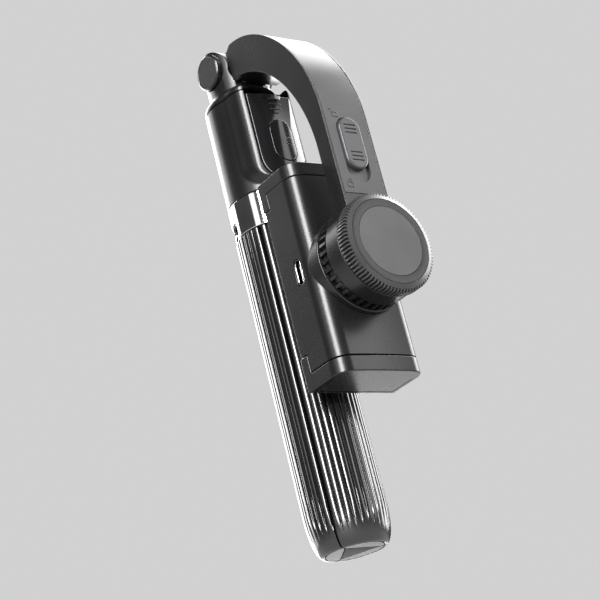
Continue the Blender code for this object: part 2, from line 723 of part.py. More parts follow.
def make_clamp(body):
    bottom, top = JAW_LOWER[1] + GAP, JAW_UPPER[1] - GAP
    shell = prism("clamp_shell", clamp_plan(0, CLAMP_BACK), bottom, top)
    room = prism("room", clamp_plan(-CLAMP_WALL, 0), bottom + 2.5, top - 2.5)
    lip_y = (JAW_LIP_FRONT - GAP, 0)
    lower_lip = box("lower_lip", (-30, 30), lip_y, (0, JAW_LOWER[2] + GAP))
    upper_lip = box("upper_lip", (-30, 30), lip_y, (JAW_UPPER[2] - GAP, 200))
    shaft_hole = cylinder("shaft_hole", BORE_R, -40, -33, "Y", (0, MOTOR_Z))
    y, z = USB_PLACE
    socket = rounded_box((y - 1.9, y + 1.9), (z - 4.8, z + 4.8), 1.85)
    shell = cut(shell, room, lower_lip, upper_lip, shaft_hole, prism("socket", socket, -20, -14, "X"))
    for side in (-1, 1):
        place = (side * JAW_ROD_PLACE[0], JAW_ROD_PLACE[1])
        shell = cut(shell, cylinder("rod_hole", JAW_ROD_R + GAP, 40, 140, centre=place, steps=16))
    finish(shell, "shell_grey", body)

    low, high = JAW_LOWER[2] + 2 * GAP, JAW_UPPER[2] - 2 * GAP
    plate = rounded_box((-15.4, 15.4), (low, high), 1.0, 2)
    finish(prism("clamp_back_cover", plate, -21.6, -20.3, "Y"), "satin_black", body)
    pad = rounded_box((-15.0, 15.0), (low + 0.4, high - 0.4), 2.0)
    finish(eased(prism("clamp_pad", pad, -20.0, -19.1, "Y"), 0.25, 1), "rubber", body)
    board = box("clamp_circuit_board", (-15.2, 15.2), (-24.6, -23.8), (62.5, 112.0))
    finish(board, "board_green", body)
    battery = eased(box("clamp_battery", (-10.0, 10.0), (-34.9, -26.0), (60.0, 79.5)), 1.2, 2)
    finish(battery, "battery_wrap", body)


def make_usb_port(body):
    (y, z), wall = USB_PLACE, 0.3
    outer = rounded_box((y - 1.6, y + 1.6), (z - 4.45, z + 4.45), 1.5)
    inner = rounded_box((y - 1.6 + wall, y + 1.6 - wall), (z - 4.45 + wall, z + 4.45 - wall), 1.5 - wall)
    port = prism("usb_port", outer, -17.8, -10.6, "X")
    port = cut(port, prism("mouth", inner, -19.0, -11.8, "X"))
    tongue = box("tongue", (-16.8, -11.4), (y - 0.35, y + 0.35), (z - 3.3, z + 3.3))
    finish(join(port, tongue), "chrome", body)


def make_jaw(name, heights, body):
    """L-shaped jaw: an end cap over the whole clamp, a lip along its back and two guide rods."""
    end, inner, lip = heights
    low, high = sorted((end, inner))
    plate = prism(name, clamp_plan(0, JAW_BACK), low, high)
    low, high = sorted(((end + inner) / 2, lip))
    back_lip = box("lip", (-CLAMP_HALF_WIDTH, CLAMP_HALF_WIDTH), (JAW_LIP_FRONT, JAW_BACK), (low, high))
    jaw = eased(join(plate, back_lip), 0.5, 1, 60)
    away = 1 if end > inner else -1
    for side in (-1, 1):
        low, high = sorted((inner + away * 1.0, inner - away * 23.0))
        place = (side * JAW_ROD_PLACE[0], JAW_ROD_PLACE[1])
        jaw = join(jaw, cylinder("guide", JAW_ROD_R, low, high, centre=place, steps=16))
    finish(jaw, "shell_grey", body)


def make_jaw_spring(name, x, body):
    """Tension spring that draws the two jaws together."""
    low, high, turns, points_per_turn = 78.5, 94.5, 6, 6
    curve = bpy.data.curves.new(name, "CURVE")
    curve.dimensions = "3D"
    curve.bevel_depth = MM * 0.28
    curve.bevel_resolution = 0
    curve.use_fill_caps = True
    spline = curve.splines.new("POLY")
    count = turns * points_per_turn + 1
    spline.points.add(count - 1)
    for i, point in enumerate(spline.points):
        angle = 2 * pi * i / points_per_turn
        height = low + (high - low) * i / (count - 1)
        place = (x + 1.2 * cos(angle), JAW_ROD_PLACE[1] + 1.2 * sin(angle), height)
        point.co = (*[MM * value for value in place], 1.0)
    finish(realised(add_object(name, curve), name), "steel", body)


# ---------------------------------------------------------------- assembly


def make_bodies():
    """Empties on the joint axes, chained from the handle outwards."""
    bodies = {"handle": make_body("handle", (0, 0, 0))}
    parent = bodies["handle"]
    for number in range(1, ROD_SECTIONS + 1):
        name = f"rod_section_{number}"
        parent = bodies[name] = make_body(name + "_axis", (0, 0, ROD_TOP), parent)
    bodies["neck"] = make_body("neck_axis", (0, 0, NECK_BOTTOM), parent)
    bodies["arm"] = make_body("tilt_axis", (0, 0, HINGE_Z), bodies["neck"])
    bodies["slider"] = make_body("slider_axis", (0, ARM_OUTER_Y, 125.15), bodies["arm"])
    bodies["clamp"] = make_body("roll_axis", (0, -40, MOTOR_Z), bodies["arm"])
    bodies["jaw_upper"] = make_body("jaw_upper_axis", (0, -30, JAW_UPPER[1]), bodies["clamp"])
    bodies["jaw_lower"] = make_body("jaw_lower_axis", (0, -30, JAW_LOWER[1]), bodies["clamp"])
    for side, azimuth in LEG_AZIMUTHS.items():
        turn = radians(azimuth)
        place = (LEG_PIVOT_R * cos(turn), LEG_PIVOT_R * sin(turn), LEG_PIVOT_Z)
        bodies["leg_" + side] = make_body(f"leg_{side}_axis", place, bodies["handle"])
    bodies["remote"] = make_body("remote_axis", (0, REMOTE_BACK, 147), bodies["handle"])
    bodies["button"] = make_body("button_axis", (0, -POD_R, 145.4), bodies["remote"])
    return bodies


def make_gimbal():
    bodies = make_bodies()
    for side in LEG_AZIMUTHS:
        make_leg(side, bodies["leg_" + side])
        make_foot_pad(side, bodies["leg_" + side])
        make_leg_pin(side, bodies["handle"])
    make_end_plug(bodies["leg_front"])
    make_leg_hub(bodies["handle"])
    make_collar(bodies["handle"])
    make_rod(bodies)
    make_head(bodies["handle"])
    make_remote(bodies["remote"], bodies["button"])
    make_neck(bodies["neck"])
    make_arm(bodies["arm"])
    make_slider(bodies["slider"])
    make_motor(bodies["arm"])
    make_rotor(bodies["clamp"])
    make_clamp(bodies["clamp"])
    make_usb_port(bodies["clamp"])
    make_jaw("jaw_upper", JAW_UPPER, bodies["jaw_upper"])
    make_jaw("jaw_lower", JAW_LOWER, bodies["jaw_lower"])
    make_jaw_spring("jaw_spring_left", -JAW_ROD_PLACE[0], bodies["clamp"])
    make_jaw_spring("jaw_spring_right", JAW_ROD_PLACE[0], bodies["clamp"])


clear_scene()
PARTS = make_collection("phone_gimbal")
MATERIALS = {name: make_material(name) for name in SLOTS}
BODY_PLACES = {}
make_gimbal()
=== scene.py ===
"""Looks of the folding phone gimbal: finer meshes, materials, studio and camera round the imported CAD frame.

Lengths are in millimetres in the CAD's frame: +Z runs up the handle, -Y is the side of the clamp.
"""

import json
from math import cos, pi, radians, sin, sqrt, tan

import bmesh
import bpy
from mathutils import Matrix, Vector


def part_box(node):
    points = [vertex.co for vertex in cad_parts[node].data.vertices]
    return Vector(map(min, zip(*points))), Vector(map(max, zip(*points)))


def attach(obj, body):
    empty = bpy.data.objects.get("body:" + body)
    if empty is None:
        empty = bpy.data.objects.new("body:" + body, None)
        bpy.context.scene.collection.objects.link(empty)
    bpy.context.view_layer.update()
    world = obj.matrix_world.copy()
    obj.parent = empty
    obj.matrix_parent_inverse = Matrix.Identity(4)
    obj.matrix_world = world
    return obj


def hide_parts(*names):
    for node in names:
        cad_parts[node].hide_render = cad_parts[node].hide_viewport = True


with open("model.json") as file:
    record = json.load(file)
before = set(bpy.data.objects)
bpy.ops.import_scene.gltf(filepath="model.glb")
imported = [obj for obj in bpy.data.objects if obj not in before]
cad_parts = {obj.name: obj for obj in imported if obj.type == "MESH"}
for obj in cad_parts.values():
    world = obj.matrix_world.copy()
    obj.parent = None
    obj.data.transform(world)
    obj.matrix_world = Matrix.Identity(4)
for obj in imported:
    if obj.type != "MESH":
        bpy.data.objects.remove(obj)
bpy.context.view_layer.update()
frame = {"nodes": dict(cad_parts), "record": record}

MM = 0.001
GAP = 0.3


def span(node):
    """Lowest and highest corner of a CAD node, in millimetres."""
    low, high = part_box(node)
    return low / MM, high / MM


# Handle
COLLAR_LOW, COLLAR_HIGH = span("collar_ring")
HANDLE_R = COLLAR_HIGH.x
COLLAR_WALL = 1.8
NOTCH_TOP, NOTCH_R, NOTCH_CLEARANCE = 122.3, 2.0, 0.4
FLUTE_DEPTH = 0.75
FLUTE_START, FLUTE_RUN_OUT = 3.0, 12.0
RIB_CROWN, RIB_EDGE = 0.42, 0.72
FLUTES_PER_LEG = 12
LEG_HALF_ANGLE = 58.5
LEG_AZIMUTHS = {"front": 270, "left": 150, "right": 30}
LEG_TOP = 115.7
FOOT_R = 10.6
FOOT_ROUNDING = 14.0
PAD_TOP = span("foot_pad_right")[1].z
FOOT_PAD_R = 9.9
PLUG_TRIANGLE_R, PLUG_HEIGHT = 8.0, 2.5
LEG_PIVOT_R, LEG_PIVOT_Z = 10.0, 118.9
KNUCKLE_R, KNUCKLE_HALF_WIDTH = 2.7, 4.5
LEG_PIN_R = 1.0
WEB_OUTER_R, WEB_BOTTOM = 12.4, 98
ROD_R, ROD_WALL, ROD_SECTIONS = 7.0, 0.5, 5

# Head and remote control
HEAD_LOW, HEAD_HIGH = span("head_shell")
CAP_LOW, CAP_HIGH = span("head_cap")
CAP_SHOULDER = 1.9
HEAD_STEPS = 192
POD_R = 17.6
POD_BEND = 140.0
POD_EDGE_ANGLE, POD_FACE_ANGLE = 68.0, 36.5
POD_POWER = 2.5
POD_LOWER_RISE = 0.13
PANEL_LOW, PANEL_HIGH = span("remote_panel")
RECESS_BACK = -9.6
PANEL_THICKNESS = 1.2
BUTTON_LOW, BUTTON_HIGH = span("shutter_button")
BUTTON_R, BUTTON_THICKNESS = POD_R + 0.1, 1.4
CAMERA_MARK = (1.3, 145.2)
INDICATOR_HEIGHTS = (158.0, 160.1, 162.2)

# Neck and hinge
HINGE_Z = 181.9
NECK_LOW, NECK_HIGH = span("neck")
NECK_SLOT_FLOOR = 172.7
NECK_R, NECK_BORE_R = 11.4, 2.4
NECK_FLANK = [(7.45, 178.0), (8.1, 175.6), (9.2, 173.2), (10.9, 171.2)]
EAR_R, EAR_GAP_HALF, EAR_FRONT = 7.6, 5.2, -9.7
TONGUE_R, TONGUE_HALF_WIDTH = 8.6, 4.0
HINGE_PIN_R = 1.6
HINGE_CAP_R, HINGE_CAP_INNER, HINGE_CAP_OUTER = 6.6, 10.6, 12.7

# Arm
ARM_HALF_WIDTH = 9.6
ARM_OUTER_Y, ARM_INNER_Y = -50.5, -43.9
ARM_OUTER = ((-12.0, 137.3), 49.3, 1.85)
ARM_INNER = ((-9.3, 126.0), 47.3, 1.9)
COVER_HALF_WIDTH, COVER_THICKNESS, COVER_END_Z = 8.7, 1.7, 106.3
SLIDER_LOW, SLIDER_HIGH = span("lock_slider")
SLIDER_TRAVEL = 4.3
SLIDER_STEM = (122.0, 127.0)
TRACK_DEPTH = 1.1
GRIP_GROUP, GRIP_PITCH = 5.2, 1.5
OPEN_LOCK_PLACE, CLOSED_LOCK_PLACE = (-4.2, 136.0), (-5.3, 109.3)

# Motor and knob
KNOB_LOW, KNOB_HIGH = span("knob_cap")
MOTOR_Z = (KNOB_LOW.z + KNOB_HIGH.z) / 2
HOUSING_R = 17.4
HOUSING_FLOOR = -45.2
HOUSING_BORE = 14.0
SHAFT_BORE_R = 2.8
KNOB_R = KNOB_HIGH.x
KNOB_SHOULDER = -54.9
KNOB_RIM_R = 15.3
KNOB_FACE_R = 12.6
KNOB_TEETH = 84
KNURL_DEPTH = 1.35
KNOB_FLOOR = KNOB_LOW.y + 1.5
RING_TEETH, RING_TOOTH_DEPTH = 36, 1.3
FAIRING_BACK = -32.0

# Phone clamp
SHELL_LOW, SHELL_HIGH = span("clamp_shell")
CLAMP_HALF_WIDTH = SHELL_HIGH.x
CLAMP_FRONT = SHELL_LOW.y
CLAMP_CORNER_R = 6.0
CLAMP_BOW = 0.4
CLAMP_WALL, CLAMP_END_WALL = 2.2, 2.5
JAW_BACK = -18.2
JAW_LIP_FRONT = -22.1
JAW_LOWER = (48.5, 54.0, 60.3)
JAW_UPPER = (124.5, 119.6, 113.9)
JAW_ROD_PLACE, JAW_ROD_R, JAW_ROD_REACH = (12.5, -33.0), 1.1, 23.0
JAW_SEAM_INSET, JAW_SEAM_WIDTH = 1.5, 0.4
USB_PLACE, USB_HALF_SIZE, USB_ROUNDING = (-28.6, 87.1), (1.6, 4.45), 1.55
PAD_GROOVES, PAD_GROOVE_PITCH = 9, 4.6

SMOOTH_ANGLE = radians(33)


# ---------------------------------------------------------------- outlines


def arc(centre, radius, start, end, steps):
    angles = [radians(start + (end - start) * i / steps) for i in range(steps + 1)]
    return [(centre[0] + radius * cos(a), centre[1] + radius * sin(a)) for a in angles]


def mirrored(points):
    """Outline from the half at +x, listed from its top to its bottom."""
    return points + [(-x, y) for x, y in reversed(points) if abs(x) > 1e-6]


def oblong(half_width, low, high, steps=24):
    top = arc((0, high - half_width), half_width, 0, 180, steps)
    return top + arc((0, low + half_width), half_width, 180, 360, steps)


def rounded_box(x_range, y_range, radius, steps=8):
    (x0, x1), (y0, y1) = x_range, y_range
    points = []
    for x, y, start in ((x1, y1, 0), (x0, y1, 90), (x0, y0, 180), (x1, y0, 270)):
        centre = (x - radius if x == x1 else x + radius, y - radius if y == y1 else y + radius)
        points += arc(centre, radius, start, start + 90, steps)
    return points


def squared_arc(centre, half_width, height, power, steps):
    """Quarter of a superellipse, from its top to its side at -x."""
    points = []
    for i in range(steps + 1):
        angle = pi / 2 * i / steps
        x = sin(angle) ** (2 / power)
        z = cos(angle) ** (2 / power) if i < steps else 0.0
        points.append((centre[0] - half_width * x, centre[1] + height * z))
    return points


def pod_front(half_width, bottom, top, steps=22):
    """Front view of the remote control: straight sides over a full, rounded lower end."""
    lower = squared_arc((0.0, POD_BEND), half_width, bottom - POD_BEND, 2.5, steps)
    return mirrored([(half_width, top)] + [(-x, z) for x, z in reversed(lower)])


def shrunk(points, amount):
    """Outline moved inwards by an amount, whichever way round it is listed."""
    area = sum(a[0] * b[1] - b[0] * a[1] for a, b in zip(points, points[1:] + points[:1]))
    turn = 1 if area > 0 else -1
    moved = []
    for i, point in enumerate(points):
        here = Vector(point)
        before = (here - Vector(points[i - 1])).normalized()
        after = (Vector(points[(i + 1) % len(points)]) - here).normalized()
        normal = turn * Vector((-before.y - after.y, before.x + after.x)).normalized()
        square_on = max(abs(normal.dot(Vector((-before.y, before.x)))), 0.4)
        moved.append(tuple(here + normal * amount / square_on))
    return moved


def rounded(profile, radius, steps=3):
    """Closed profile whose corners are replaced by short curves."""
    count = len(profile)
    result = []
    for i, point in enumerate(profile):
        here = Vector(point)
        before, after = Vector(profile[i - 1]) - here, Vector(profile[(i + 1) % count]) - here
        reach = min(radius, before.length * 0.45, after.length * 0.45)
        start, end = here + before.normalized() * reach, here + after.normalized() * reach
        for k in range(steps + 1):
            t = k / steps
            result.append(tuple(start * (1 - t) ** 2 + here * 2 * t * (1 - t) + end * t * t))
    return result


def bent(points, radius):
    """Points of a front view laid on a cylinder about the handle's axis."""
    return [(x, -sqrt(radius * radius - x * x), z) for x, z in points]


# ---------------------------------------------------------------- solids


def add_object(name, mesh):
    obj = bpy.data.objects.new(name, mesh)
    bpy.context.scene.collection.objects.link(obj)
    return obj


def tidied(obj):
    """Weld an object's mesh and turn its faces outwards."""
    shape = bmesh.new()
    shape.from_mesh(obj.data)
    bmesh.ops.remove_doubles(shape, verts=shape.verts, dist=0.0005 * MM)
    bmesh.ops.dissolve_degenerate(shape, edges=shape.edges, dist=0.0002 * MM)
    bmesh.ops.recalc_face_normals(shape, faces=shape.faces)
    shape.to_mesh(obj.data)
    shape.free()
    return obj


def skin(name, rings, wrap=False):
    """Closed skin over rings of points that all have the same count."""
    count, rows = len(rings[0]), len(rings)
    points = [[MM * value for value in point] for ring in rings for point in ring]
    faces = []
    for row in range(rows if wrap else rows - 1):
        here, there = row * count, (row + 1) % rows * count
        for i in range(count):
            after = (i + 1) % count
            faces.append((here + i, here + after, there + after, there + i))
    if not wrap:
        faces += [range(count), range((rows - 1) * count, rows * count)]
    mesh = bpy.data.meshes.new(name)
    mesh.from_pydata(points, [], [tuple(face) for face in faces])
    return tidied(add_object(name, mesh))


def placed(axis, outline, height):
    """Points of an outline at a height: drawn in XY for Z, in YZ for X and in XZ for Y."""
    if axis == "Z":
        return [(a, b, height) for a, b in outline]
    if axis == "X":
        return [(height, a, b) for a, b in outline]
    return [(a, height, b) for a, b in outline]


def slab(name, outline, low, high, axis="Z", ease_low=0.0, ease_high=0.0, steps=4):
    """Outline extruded from low to high, with its two edges rounded over."""
    rings = []
    for edge, ease, inwards in ((low, ease_low, 1), (high, ease_high, -1)):
        turns = [pi / 2 * k / steps for k in range(steps + 1)] if ease else [pi / 2]
        turns = turns if inwards == 1 else turns[::-1]
        for turn in turns:
            inset = ease * (1 - sin(turn))
            height = edge + inwards * ease * (1 - cos(turn))
            rings.append(placed(axis, shrunk(outline, inset) if inset > 1e-6 else outline, height))
    return skin(name, rings)


def turned(name, profile, steps=96, axis="Z", centre=(0.0, 0.0), wrap=True):
    """Profile of (radius, height) points turned about an axis. wrap joins its two ends."""
    rings = []
    for radius, height in profile:
        rings.append(placed(axis, arc(centre, radius, 0, 360 * (1 - 1 / steps), steps - 1), height))
    return skin(name, rings, wrap)


def cylinder(name, radius, low, high, axis="Z", centre=(0.0, 0.0), steps=64):
    return turned(name, [(radius, low), (radius, high)], steps, axis, centre, wrap=False)


def box(name, x_range, y_range, z_range):
    (x0, x1), (y0, y1) = x_range, y_range
    return slab(name, [(x0, y0), (x1, y0), (x1, y1), (x0, y1)], *z_range)


def realised(obj):
    """Replace an object's mesh by its evaluated shape and drop its modifiers."""
    bpy.context.view_layer.update()
    graph = bpy.context.evaluated_depsgraph_get()
    mesh = bpy.data.meshes.new_from_object(obj.evaluated_get(graph))
    name = obj.name
    bpy.data.objects.remove(obj)
    return tidied(add_object(name, mesh))


def boolean(obj, tools, operation):
    for tool in tools:
        modifier = obj.modifiers.new(operation, "BOOLEAN")
        modifier.operation = operation
        modifier.object = tool
        modifier.solver = "EXACT"
        obj = realised(obj)
        bpy.data.objects.remove(tool)
    return obj


def cut(obj, *tools):
    return boolean(obj, tools, "DIFFERENCE")


def join(obj, *tools):
    return boolean(obj, tools, "UNION")


def common(obj, *tools):
    return boolean(obj, tools, "INTERSECT")


def eased(obj, width, segments=3, angle=38):
    """Round the edges that are sharper than the angle."""
    bevel = obj.modifiers.new("Ease", "BEVEL")
    bevel.width = MM * width
    bevel.segments = segments
    bevel.limit_method = "ANGLE"
    bevel.angle_limit = radians(angle)
    bevel.use_clamp_overlap = False
    bevel.miter_outer = "MITER_ARC"
    return realised(obj)


def swung(obj, azimuth):
    """Turn a piece that was made pointing along +X to an azimuth about the handle."""
    obj.data.transform(Matrix.Rotation(radians(azimuth), 4, "Z"))
    return obj


def finish(obj, look, body, *nodes, slot=None):
    """Shade a piece, give it its material, hang it on its body and hide the CAD nodes that it stands for."""
    obj.data.materials.clear()
    obj.data.materials.append(LOOKS[look])
    obj.data.shade_smooth()
    obj.data.set_sharp_from_angle(angle=SMOOTH_ANGLE)
    normals = obj.modifiers.new("Even shading", "WEIGHTED_NORMAL")
    normals.keep_sharp = True
    normals.weight = 80
    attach(obj, body)
    if nodes:
        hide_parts(*nodes)
    return obj


# ---------------------------------------------------------------- materials


def math_node(tree, operation, first, second):
    node = tree.nodes.new("ShaderNodeMath")
    node.operation = operation
    for socket, value in zip(node.inputs, (first, second)):
        if isinstance(value, (int, float)):
            socket.default_value = value
        else:
            tree.links.new(value, socket)
    return node.outputs[0]


def noise(tree, place, scale, detail=3.0, stretch=(1, 1, 1)):
    mapping = tree.nodes.new("ShaderNodeMapping")
    mapping.inputs["Scale"].default_value = stretch
    tree.links.new(place, mapping.inputs["Vector"])
    node = tree.nodes.new("ShaderNodeTexNoise")
    node.inputs["Scale"].default_value = scale
    node.inputs["Detail"].default_value = detail
    tree.links.new(mapping.outputs[0], node.inputs["Vector"])
    return node.outputs["Fac"]


def ranged(tree, value, low, high):
    """Spread a noise's middle values over a range."""
    node = tree.nodes.new("ShaderNodeMapRange")
    node.inputs["From Min"].default_value = 0.3
    node.inputs["From Max"].default_value = 0.7
    node.inputs["To Min"].default_value = low
    node.inputs["To Max"].default_value = high
    tree.links.new(value, node.inputs["Value"])
    return node.outputs[0]


def make_look(
    name, colour, roughness, metallic=0.0, grain=(2600, 0.004), smudge=0.12, stretch=(1, 1, 1), specular=0.5
):
    """Moulded or machined surface, with mottled colour, handling marks in its gloss and a fine grain.

    grain is the scale of the bump and its depth in millimetres.
    """
    material = bpy.data.materials.new("look_" + name)
    material.use_nodes = True
    tree = material.node_tree
    shader = tree.nodes["Principled BSDF"]
    place = tree.nodes.new("ShaderNodeTexCoord").outputs["Object"]
    shader.inputs["Metallic"].default_value = metallic
    shader.inputs["Specular IOR Level"].default_value = specular

    mottle = noise(tree, place, 70, 5.0, stretch)
    blend = tree.nodes.new("ShaderNodeMix")
    blend.data_type = "RGBA"
    blend.inputs["A"].default_value = (*[value * 0.86 for value in colour], 1.0)
    blend.inputs["B"].default_value = (*[min(value * 1.14, 1.0) for value in colour], 1.0)
    tree.links.new(ranged(tree, mottle, 0.0, 1.0), blend.inputs["Factor"])
    tree.links.new(blend.outputs["Result"], shader.inputs["Base Color"])

    marks = ranged(tree, noise(tree, place, 38, 6.0, (1.0, 1.0, 0.45)), -smudge, smudge)
    fine = ranged(tree, noise(tree, place, grain[0] * 0.4, 2.0, stretch), -0.25 * smudge, 0.25 * smudge)
    factor = math_node(tree, "ADD", math_node(tree, "ADD", marks, fine), 1.0)
    tree.links.new(math_node(tree, "MULTIPLY", factor, roughness), shader.inputs["Roughness"])

    bump = tree.nodes.new("ShaderNodeBump")
    bump.inputs["Strength"].default_value = 0.6
    bump.inputs["Distance"].default_value = grain[1] * MM
    tree.links.new(noise(tree, place, grain[0], 3.0, stretch), bump.inputs["Height"])
    tree.links.new(bump.outputs["Normal"], shader.inputs["Normal"])
    return material


FINISHES = {
    "gloss_black": dict(colour=(0.006, 0.006, 0.0065), roughness=0.17, grain=(900, 0.0008), smudge=0.3),
    "satin_black": dict(colour=(0.005, 0.005, 0.0052), roughness=0.3, grain=(3200, 0.006)),
    "grip_black": dict(
        colour=(0.006, 0.006, 0.0062), roughness=0.2, grain=(900, 0.0003), smudge=0.15, specular=1.0
    ),
    "shell_grey": dict(colour=(0.007, 0.007, 0.0072), roughness=0.27, grain=(3000, 0.005)),
    "metal_grey": dict(colour=(0.05, 0.05, 0.052), roughness=0.32, metallic=0.25, grain=(2800, 0.003)),
    "chrome": dict(colour=(0.83, 0.83, 0.84), roughness=0.07, metallic=1.0, grain=(700, 0.001), smudge=0.3),
    # Light grey of the foot pads: partly their own pale finish, partly a painted reflection of a lamp below
    # them.
    "foot_silver": dict(colour=(0.12, 0.12, 0.119), roughness=0.38, metallic=0.2, grain=(2600, 0.004)),
    "steel": dict(
        colour=(0.55, 0.55, 0.56), roughness=0.2, metallic=1.0, grain=(1400, 0.003), stretch=(1, 1, 0.04)
    ),
    "rubber": dict(colour=(0.014, 0.014, 0.014), roughness=0.7, grain=(1800, 0.012)),
    "plug_black": dict(colour=(0.004, 0.004, 0.004), roughness=0.5, specular=0.15),
    "copper": dict(
        colour=(0.62, 0.28, 0.13), roughness=0.3, metallic=1.0, grain=(2400, 0.02), stretch=(1, 8, 1)
    ),
    "board_green": dict(colour=(0.012, 0.1, 0.04), roughness=0.35, grain=(900, 0.01)),
    "battery_wrap": dict(colour=(0.2, 0.23, 0.28), roughness=0.3, grain=(300, 0.01)),
}
LOOKS = {name: make_look(name, **values) for name, values in FINISHES.items()}


# ---------------------------------------------------------------- tripod handle


def smooth(value):
    value = min(max(value, 0.0), 1.0)
    return value * value * (3 - 2 * value)


def leg_radius(turn, height):
    """Radius of a leg's outer side. turn runs from -1 to 1 across each rib."""
    foot = 1.0
    if height < FOOT_ROUNDING:
        foot = sqrt(max(1 - (1 - height / FOOT_ROUNDING) ** 2, 0.0))
    envelope = FOOT_R + (HANDLE_R - FOOT_R) * foot
    crown = RIB_CROWN * turn * turn
    groove = (1 - RIB_CROWN) * smooth((abs(turn) - RIB_EDGE) / (1 - RIB_EDGE))
    fade = smooth((height - FLUTE_START) / FLUTE_RUN_OUT)
    return envelope - FLUTE_DEPTH * fade * (crown + groove)


def make_leg(side):
    pitch = 2 * LEG_HALF_ANGLE / FLUTES_PER_LEG
    across = [-1.0, -0.93, -0.86, -0.79, -0.72, -0.5, -0.25, 0.0, 0.25, 0.5, 0.72, 0.79, 0.86, 0.93]
    turns = [(rib, turn) for rib in range(FLUTES_PER_LEG) for turn in across] + [(FLUTES_PER_LEG - 1, 1.0)]
    foot = [FOOT_ROUNDING * (1 - cos(radians(a))) for a in range(0, 91, 6)]
    heights = foot + [20, 40, 60, 80, 100, LEG_TOP - 0.35]
    pocket_r, pocket_top = FOOT_PAD_R + GAP, PAD_TOP + GAP
    bore = ROD_R + GAP
    funnel = LEG_TOP - HANDLE_R
    rings = []
    for rib, turn in turns:
        angle = radians(-LEG_HALF_ANGLE + pitch * (rib + (turn + 1) / 2))
        profile = [(leg_radius(turn, height), height) for height in heights]
        top_r = profile[-1][0]
        profile += [(top_r - 0.1, LEG_TOP - 0.1), (top_r - 0.35, LEG_TOP)]
        profile += [(HANDLE_R - 1.2, funnel + HANDLE_R - 1.2), (bore, funnel + bore)]
        profile += [(bore, pocket_top), (pocket_r, pocket_top), (pocket_r, 0.2)]
        rings.append([(r * cos(angle), r * sin(angle), z) for r, z in profile])
    leg = skin("leg_fluted_" + side, rings)
    half, pivot = KNUCKLE_HALF_WIDTH, (LEG_PIVOT_R, LEG_PIVOT_Z)
    web = eased(box("web", (ROD_R + 0.6, WEB_OUTER_R), (-half, half), (WEB_BOTTOM, LEG_PIVOT_Z)), 0.3)
    knuckle = slab("knuckle", arc(pivot, KNUCKLE_R, 0, 352.5, 47), -half, half, "Y", 0.35, 0.35)
    hole = cylinder("hole", LEG_PIN_R + GAP, -8, 8, "Y", pivot, 32)
    leg = cut(join(leg, web, knuckle), hole)
    finish(swung(leg, LEG_AZIMUTHS[side]), "grip_black", "leg_" + side, "leg_" + side)

    edge = PLUG_TRIANGLE_R / 2 + GAP
    corner = edge * tan(radians(LEG_HALF_ANGLE))
    outline = arc((0, 0), FOOT_PAD_R, -LEG_HALF_ANGLE, LEG_HALF_ANGLE, 48)
    outline += [(edge, corner), (edge, -corner)]
    # The pads' light grey is partly their own finish and partly a painted reflection of the light they catch
    # from below.
    pad = slab("foot_segment_" + side, outline, 0, PAD_TOP, "Z", 0.18, 0.1)
    finish(swung(pad, LEG_AZIMUTHS[side]), "foot_silver", "leg_" + side, "foot_pad_" + side)


def make_collar():
    low, high, inner = COLLAR_LOW.z, COLLAR_HIGH.z, HANDLE_R - COLLAR_WALL
    ring = turned("collar_band", [(inner, high), (HANDLE_R, high), (HANDLE_R, low), (inner, low)], 144)
    half = KNUCKLE_HALF_WIDTH + NOTCH_CLEARANCE
    outline = rounded_box((-half, half), (low - 6, NOTCH_TOP), NOTCH_R)
    for azimuth in LEG_AZIMUTHS.values():
        ring = cut(ring, swung(slab("notch", outline, 10, 16, "X"), azimuth))
    finish(eased(ring, 0.22), "chrome", "handle", "collar_ring")


def make_end_plug():
    triangle = arc((0, 0), PLUG_TRIANGLE_R, 90, 330, 2)
    plug = slab("foot_plug", rounded(triangle, 0.5), 0, PLUG_HEIGHT, "Z", 0.15, 0.1)
    finish(plug, "plug_black", "leg_front", "end_plug", slot="satin_black")


def make_rods():
    for number in range(1, ROD_SECTIONS + 1):
        node = f"rod_section_{number}"
        low, high = span(node)
        outer, inner = high.x, high.x - ROD_WALL
        wall = [(inner, high.z), (outer, high.z), (outer, low.z), (inner, low.z)]
        finish(turned(f"tube_{number}", rounded(wall, 0.15, 2), 64), "steel", node, node)


# ---------------------------------------------------------------- head and remote control


def head_outline(height, shrink):
    """Plan of the head at a height: a circle with the pod swelling out of its front."""
    points = []
    drop = max(POD_BEND - height, 0.0) / (POD_BEND - HEAD_LOW.z)
    side_rise = 1 - POD_FACE_ANGLE / POD_EDGE_ANGLE
    for i in range(HEAD_STEPS):
        angle = 360 * i / HEAD_STEPS
        across = abs((angle - 270 + 180) % 360 - 180) / POD_EDGE_ANGLE
        total = across**POD_POWER + drop**POD_POWER
        depth = total ** (1 / POD_POWER)
        rise = side_rise + (POD_LOWER_RISE - side_rise) * drop**POD_POWER / max(total, 1e-9)
        radius = HANDLE_R + (POD_R - HANDLE_R) * smooth((1 - depth) / rise) - shrink
        points.append((radius * cos(radians(angle)), radius * sin(radians(angle))))
    return points


def recess():
    """Room for the remote control, open to the front and the top."""
    outline = pod_front(PANEL_HIGH.x + GAP, PANEL_LOW.z - GAP, 180)
    return slab("recess", outline, -25, RECESS_BACK, "Y")


def make_head():
    low, seam = HEAD_LOW.z, HEAD_HIGH.z
    swell = [low + 0.5 + 0.45 * i for i in range(25)]
    heights = [low + 0.06, low + 0.2] + swell + [145, 155, seam - 0.16, seam - 0.04]
    shrinks = [0.14] + [0.0] * (len(heights) - 2) + [0.12]
    rings = [placed("Z", head_outline(low, 0.3), low)]
    rings += [placed("Z", head_outline(height, shrink), height) for height, shrink in zip(heights, shrinks)]
    rings += [placed("Z", head_outline(seam, 0.3), seam)]
    shell = cut(skin("head_body", rings), cylinder("bore", ROD_R + GAP, 100, 200), recess())
    finish(eased(shell, 0.16, 2, 50), "shell_grey", "handle", "head_shell")


